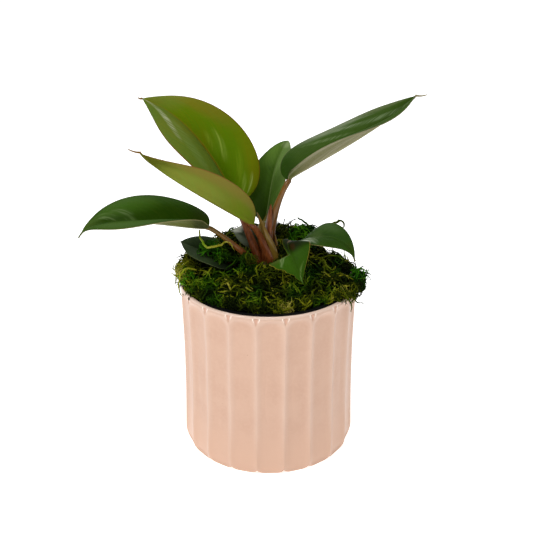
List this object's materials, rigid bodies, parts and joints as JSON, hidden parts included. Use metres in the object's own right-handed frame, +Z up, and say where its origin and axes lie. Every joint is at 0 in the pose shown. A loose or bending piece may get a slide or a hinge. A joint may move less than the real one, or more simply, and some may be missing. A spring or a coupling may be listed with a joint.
{
  "type": "potted red congo philodendron",
  "caption": "Young red congo philodendron with broad pointed leaves in a nursery pot, set in a fluted blush ceramic planter and dressed with sheet moss.",
  "frame": {"origin": "centre of the planter's flat underside", "axes": "+Z up the planter's axis; the show side faces -Y, with the tallest pair of leaves spread along X"},
  "size_m": [0.2369, 0.1327, 0.2598],
  "materials": {
    "glaze": "gloss",
    "pot_plastic": "satin",
    "potting_mix": "matte",
    "stem": "satin",
    "leaf_bright": "satin",
    "leaf_olive": "satin",
    "leaf_dark": "gloss",
    "moss": "matte"
  },
  "bodies": {
    "root": {"planter": "glaze", "grow_pot": "pot_plastic", "soil": "potting_mix", "crown": "stem", "leaf_tall_left": "leaf_bright", "leaf_front_left": "leaf_olive", "leaf_low_left": "leaf_dark", "leaf_back": "leaf_dark", "leaf_tall_right": "leaf_dark", "leaf_low_right": "leaf_dark", "leaf_front_small": "leaf_dark", "leaf_moss_left": "leaf_dark", "leaf_moss_back": "leaf_dark", "moss": "moss"}
  },
  "joints": []
}
